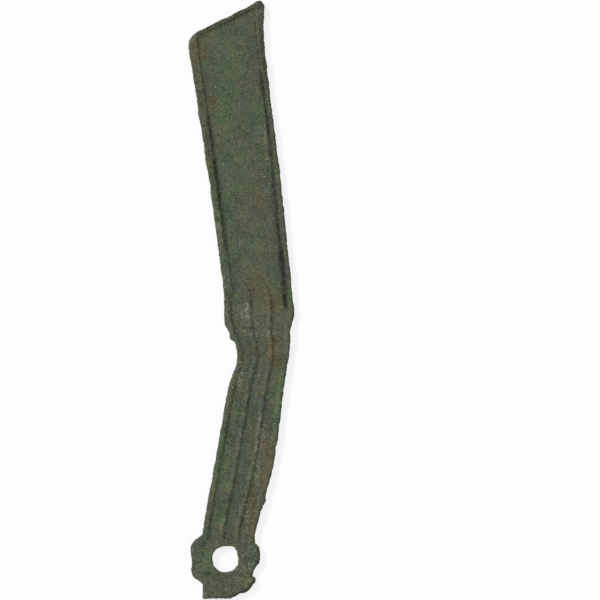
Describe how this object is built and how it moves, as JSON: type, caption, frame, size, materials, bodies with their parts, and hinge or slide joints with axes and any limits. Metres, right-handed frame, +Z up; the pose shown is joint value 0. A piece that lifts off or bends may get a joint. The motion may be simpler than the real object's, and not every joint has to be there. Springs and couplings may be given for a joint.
{
  "type": "knife money",
  "caption": "Flat cast bronze knife money with a rimmed blade, a ribbed handle, a pierced ring and a broken casting gate, lying on its face.",
  "frame": {"origin": "middle of the outline's box, on the plane that the lower face's rims rest on", "axes": "+X from the cutting edge to the back, +Y from the ring to the tip, +Z up through the thickness"},
  "size_m": [0.0244, 0.1392, 0.0017],
  "materials": {
    "blade_bronze": null,
    "handle_bronze": null,
    "ring_bronze": null,
    "gate_bronze": null
  },
  "bodies": {
    "root": {"blade": "blade_bronze", "handle": "handle_bronze", "ring": "ring_bronze", "gate_stub": "gate_bronze"}
  },
  "joints": []
}
